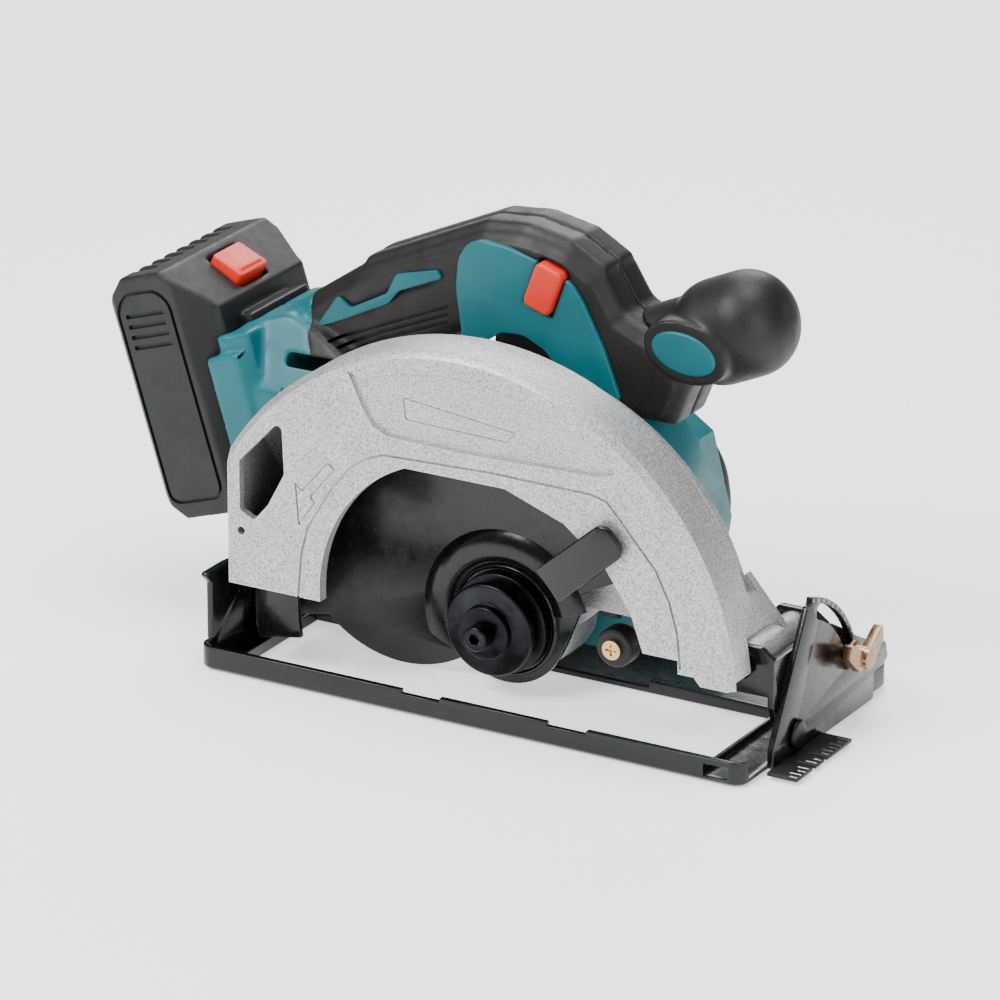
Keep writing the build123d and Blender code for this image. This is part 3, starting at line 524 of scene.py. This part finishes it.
def upper_guard():
    """Cast guard with its recessed field, the line round the opening and an engraved arrow."""
    face = GUARD_FACE_Y
    obj = show(node_mesh("upper_guard"), "upper_guard_fine", "saw", "cast_aluminium",
               replaced=("upper_guard",))
    edge = [(-44.3, 124.5), (-38.1, 111.8), (-34, 105.5), (-27.8, 102.6), (3.1, 102.0), (56.7, 103.5),
            (64, 105.5)]
    field = edge + arc(*SPINDLE, 104.0, 51.5, 111.5, 30)
    ring = [(-66, 30), (-64.1, 50.5), (-61.4, 61.1), (-51.8, 77.2), (-43.5, 87.8), (-37, 92.6), (-29.9, 95.4),
            (14.2, 97.0), (55, 96.6), (61, 95), (66, 90), (72, 83.0), (81, 73), (86.5, 62), (89.8, 50.5),
            (91, 38)]
    arrow = [(-65, 62), (-66.3, 77.7), (-63.7, 75.2), (-52.6, 88), (-49.8, 85.9), (-60.1, 73.6),
             (-58.3, 71.6)]
    label = [(-22, 118), (-21, 110), (20, 109), (24, 113)]
    field_depth, ring_depth, arrow_depth, label_depth = 1.5, 1.0, 0.9, 0.6
    floor = face + field_depth
    carve(obj, [extruded(field, "Y", face - 1, floor), groove(ring, 1.1, face - 1, face + ring_depth)])
    carve(obj, closed_line(arrow, 0.85, face - 1, face + arrow_depth))
    carve(obj, closed_line(label, 0.8, floor - 1, floor + label_depth))
    soften(obj, 0.5, 2, 30)
    smooth(obj, 14)


def grip():
    """Handle halves: rubber grip joined with its top strip, and the coloured rear block."""
    rear = [(-150, 40), (-150, 140), (-107, 140), (-98, 128), (-92, 111), (-87, 103), (-77, 99),
            (-62, 96), (-50, 92), (-50, 40)]
    # The grip is cut a little inside that outline, so that the two pieces overlap at the joint.
    rear_cut = [(-150, 40), (-150, 140), (-109.5, 140), (-100.5, 127), (-94.5, 110), (-89, 100.5),
                (-78, 96.5), (-62, 93.5), (-50, 89.5), (-50, 40)]
    lines = []
    for k in range(5):
        lines.append([(-91 + 1.5 * k, 108.5 - 3.3 * k), (-66, 119.5 - 2.6 * k), (-38, 131.5 - 2.9 * k)])
    recess = rounded([(-111, 56), (-118, 101), (-112, 108), (-103, 107), (-98, 96), (-99, 56)], 3)
    cheek = [(-93.5, 10.4), (-93.5, 13.4), (-89.2, 16.4), (-85.7, 17.6), (-83, 30), (-74, 30), (-74, 14),
             (-80, 10.4)]
    far_cheek = [(v, 95 - y) for v, y in cheek]
    crest = [(-88, 12.6), (-88, 16.7), (-85.7, 17.6), (-83, 30), (-74, 30), (-74, 14)]
    for side in ("near", "far"):
        node_name = "handle_" + side
        names = (node_name, "grip_band") if side == "near" else (node_name,)
        black = show(node_mesh(node_name), "grip_" + side, "saw", "rubber_black", replaced=names)
        carve(black, [node_mesh("grip_band")], "UNION")
        other_half = (HANDLE_Y, 120) if side == "near" else (-20, HANDLE_Y)
        carve(black, [extruded(rear_cut, "Y", -10, 110),
                      block((-200, other_half[0], 0), (200, other_half[1], 250))])
        melt(black, 1.0, 22)
        y = (24, 31.5) if side == "near" else (60.5, 68)
        carve(black, [merged([groove(line, 1.3, *y) for line in lines])])
        smooth(black, 40)
        teal = show(node_mesh(node_name), "rear_block_" + side, "saw", "teal_plastic")
        carve(teal, [extruded(rear, "Y", -10, 110)], "INTERSECT")
        carve(teal, [extruded(cheek if side == "near" else far_cheek, "Z", 81, 135, LEAN)], "UNION")
        if side == "near":
            carve(teal, [extruded(crest, "Z", 130, 142, LEAN)], "UNION")
        melt(teal, 0.9, 14)
        y = (11, 13.4) if side == "near" else (78.6, 81)
        carve(teal, [groove(recess, 1.2, *y, closed=True)])
        smooth(teal, 40)


def coloured_trim():
    """Side panel, grip flash and knob oval, each with rounded edges."""
    panel = [(-31, 119), (-34, 140), (-33, 151), (-29.5, 157), (-24, 159.5), (-12, 158.5), (4, 154),
             (14, 149), (18.5, 143), (27, 127), (34, 109), (26, 105), (13, 107), (9.5, 115), (3, 122.5),
             (-6, 126.5), (-15, 126), (-22, 121)]
    obj = show(extruded(rounded(panel, 2), "Y", 28.3, 31.5), "side_panel_fine", "saw", "teal_plastic",
               replaced=("side_panel",))
    pocket = Matrix.Translation((3, 0, 146)) @ Matrix.Rotation(math.radians(20), 4, "Y")
    carve(obj, [block((-6.3, 25, -9.3), (6.3, 40, 9.3), pocket)])
    soften(obj, 0.7, 3)
    flash = [(-93.6, 113.6), (-84, 127.5), (-78.6, 124), (-63, 132.3), (-59, 140.4), (-42, 144.8),
             (-40, 142), (-58, 134.2), (-62.5, 128.6), (-79.8, 120)]
    obj = show(extruded(rounded(flash, 1.2), "Y", 28.9, 31.6), "grip_flash_fine", "saw", "teal_plastic",
               replaced=("grip_insert",))
    soften(obj, 0.5, 3)
    obj = show(extruded(oval(61, 132.4, 13, 7.6, -10), "Y", 24.8, 31), "knob_oval_fine", "saw",
               "teal_plastic", replaced=("knob_insert",))
    soften(obj, 1.0, 3)


def knob():
    """Soft rubber knob with a shoulder round the coloured oval."""
    obj = show(node_mesh("knob"), "knob_fine", "saw", "rubber_black", replaced=("knob",))
    carve(obj, [extruded(oval(61, 132.4, 17, 11.5, -10), "Y", 25.8, 60)], "UNION")
    melt(obj, 0.8, 16)


def battery():
    """Battery case: rounded block with rails, end panels and finger ribs."""
    side = [(-129.5, 85), (-129.5, 161), (-121, 169.7), (-103, 169.7), (-86.3, 152), (-86.3, 76.3),
            (-121, 76.3)]
    plan = [(-129.5, 13), (-126.5, 10), (-99, 10), (-89, 17), (-86.2, 18), (-86.2, 77), (-89, 78),
            (-99, 85), (-126.5, 85), (-129.5, 82)]
    obj = show(extruded(side, "Y", 10, 85, LEAN), "battery_case", "battery", "black_plastic",
               replaced=("battery_front", "battery_rear"))
    carve(obj, [extruded(plan, "Z", 70, 180, LEAN)], "INTERSECT")
    carve(obj, [block((-88, 30, 76.5), (-82, 62, 146), LEAN),
                block((-83, 26, 76.5), (-79.1, 66, 146), LEAN)], "UNION")
    button = LEAN @ Matrix.Translation((-94, 47.5, 161)) @ Matrix.Rotation(math.radians(-48), 4, "Y")
    ribs = [block((-127, 20 + 8.5 * i, 165.5), (-112, 23.4 + 8.5 * i, 172), LEAN) for i in range(7)]
    carve(obj, [block((-9, -9.9, -8.4), (4, 9.9, 8.4), button), merged(ribs)])
    melt(obj, 0.8, 8)
    frame_line = rounded([(-125.5, 83), (-125.5, 158), (-120, 163.5), (-107, 163.5), (-102, 158),
                          (-102, 83)], 5)
    lines = []
    for near, far in ((9, 11.2), (83.8, 86)):
        lines.append(groove(frame_line, 1.4, near, far, closed=True, turn=LEAN))
        for i in range(4):
            z = 155 - 4.0 * i
            lines.append(groove([(-122.5, z), (-105.5, z)], 1.6, near, far, turn=LEAN))
    carve(obj, [merged(lines)])
    smooth(obj, 40)


def hub_rings():
    """Pressed rings round the boss of the lower guard."""
    dome = [(22.4, 6.4), (22.4, 5.0), (23.4, 3.9), (25.5, 3.6), (29.5, 3.9), (32.5, 4.9), (34.5, 6.4)]
    obj = show(lathe(dome, SPINDLE), "lower_guard_dome", "swing_guard", "painted_steel")
    reach = [(-60, 24), (-60, 90), (60, 90), (60, 44), (0, 24), (-12, 8), (-28, 14)]
    carve(obj, [extruded(reach, "Y", 0, 8)], "INTERSECT")
    smooth(obj, 40)
    rim = [(19.9, 6.4), (19.9, 5.6), (20.6, 5.0), (21.4, 5.6), (21.6, 6.4)]
    obj = show(lathe(rim, SPINDLE), "lower_guard_bead", "swing_guard", "painted_steel")
    smooth(obj, 40)


def crossed_screws(name, slot, body, places, y, depth, reach):
    """Screws with a cross cut into each head, at places given in X and Z."""
    obj = show(node_mesh(name), name + "_fine", body, slot, replaced=(name,))
    low, high = min(y, y + depth), max(y, y + depth)
    for x, z in places:
        carve(obj, [block((x - reach, low, z - 0.45), (x + reach, high, z + 0.45)),
                    block((x - 0.45, low, z - reach), (x + 0.45, high, z + reach))])
    soften(obj, 0.25, 2, 40)


def screws():
    """Cross-headed screws of the handle and the motor cap."""
    crossed_screws("clamp_screws", "dark_steel", "saw", [(-66, 118), (-38, 133), (22, 140), (40, 112)],
                   65, -1.8, 2.0)
    corners = [(10 + sx * 21.64, 50 + sz * 21.64) for sx in (-1, 1) for sz in (-1, 1)]
    crossed_screws("motor_screws", "dark_steel", "saw", corners, 98, -1.6, 1.7)


def bevel_scale():
    """Tick marks along the bevel arc."""
    for i in range(11):
        angle = math.radians(26 + 5 * i)
        long_tick = 4.2 if i % 3 == 0 else 2.8
        turn = Matrix.Translation((0, 0, 9)) @ Matrix.Rotation(angle, 4, "X")
        tick = show(block((121.4, 48.6 - long_tick / 2.5, -0.25), (121.62, 48.6, 0.25), turn),
                    "scale_tick", "base", "plated_steel")
        soften(tick, 0.05, 1)


def line_guide():
    """Black notched plate with pale tick marks."""
    obj = show(node_mesh("line_guide"), "line_guide_fine", "base", "black_plastic",
               replaced=("line_guide",))
    soften(obj, 0.3)
    for i in range(14):
        y = -21 + 3 * i
        length = 4.5 if i % 2 else 3.0
        if min(abs(y), abs(y + 9)) < 1.5:
            continue
        tick = show(block((133.2 - length, y - 0.35, 2.4), (133.2, y + 0.35, 2.62)), "guide_tick",
                    "base", "plated_steel")
        soften(tick, 0.06, 1)


upper_guard()
grip()
coloured_trim()
knob()
battery()
hub_rings()
screws()
bevel_scale()
line_guide()


def camera_and_light():
    """Camera at the viewing angle, four soft lights, a dim world and a pale floor."""
    azimuth, elevation = math.radians(30), math.radians(21)
    distance = 2.5
    target = at(1.0, 0, 74.2)
    back = Vector((math.sin(azimuth) * math.cos(elevation), -math.cos(azimuth) * math.cos(elevation),
                   math.sin(elevation)))
    data = bpy.data.cameras.new("camera")
    data.lens = 252
    data.sensor_width = 36
    data.clip_end = 20
    camera = bpy.data.objects.new("camera", data)
    camera.location = target + back * distance
    camera.rotation_euler = back.to_track_quat("Z", "Y").to_euler()
    bpy.context.scene.collection.objects.link(camera)
    bpy.context.scene.camera = camera

    def area(name, place, size, power):
        light = bpy.data.lights.new(name, "AREA")
        light.size = size
        light.energy = power
        obj = bpy.data.objects.new(name, light)
        obj.location = place
        obj.rotation_euler = (Vector(place) - target).to_track_quat("Z", "Y").to_euler()
        bpy.context.scene.collection.objects.link(obj)

    area("key", (-0.55, -0.9, 1.1), 0.6, 26)
    area("fill", (1.2, -0.7, 0.6), 0.9, 11)
    area("top", (0.1, 0.15, 1.5), 0.8, 22)
    area("back", (-0.5, 1.2, 0.9), 0.8, 14)
    world = bpy.data.worlds.new("world")
    world.use_nodes = True
    world.node_tree.nodes["Background"].inputs["Color"].default_value = (1, 1, 1, 1)
    world.node_tree.nodes["Background"].inputs["Strength"].default_value = 0.22
    bpy.context.scene.world = world

    mesh = bpy.data.meshes.new("floor")
    corners = [(x, y, -0.0003) for x, y in ((-6, -6), (6, -6), (6, 6), (-6, 6))]
    mesh.from_pydata(corners, [], [(0, 1, 2, 3)])
    floor = bpy.data.objects.new("floor", mesh)
    bpy.context.scene.collection.objects.link(floor)
    material, tree, shader = new_material("floor")
    tone = ramp(tree, noise(tree, 3, 2), (0.86, 0.86, 0.86), (0.9, 0.9, 0.9))
    tree.links.new(tone, shader.inputs["Base Color"])
    shader.inputs["Roughness"].default_value = 0.7
    shader.inputs["Emission Color"].default_value = (1, 1, 1, 1)
    shader.inputs["Emission Strength"].default_value = 0.82
    floor.data.materials.append(material)


camera_and_light()
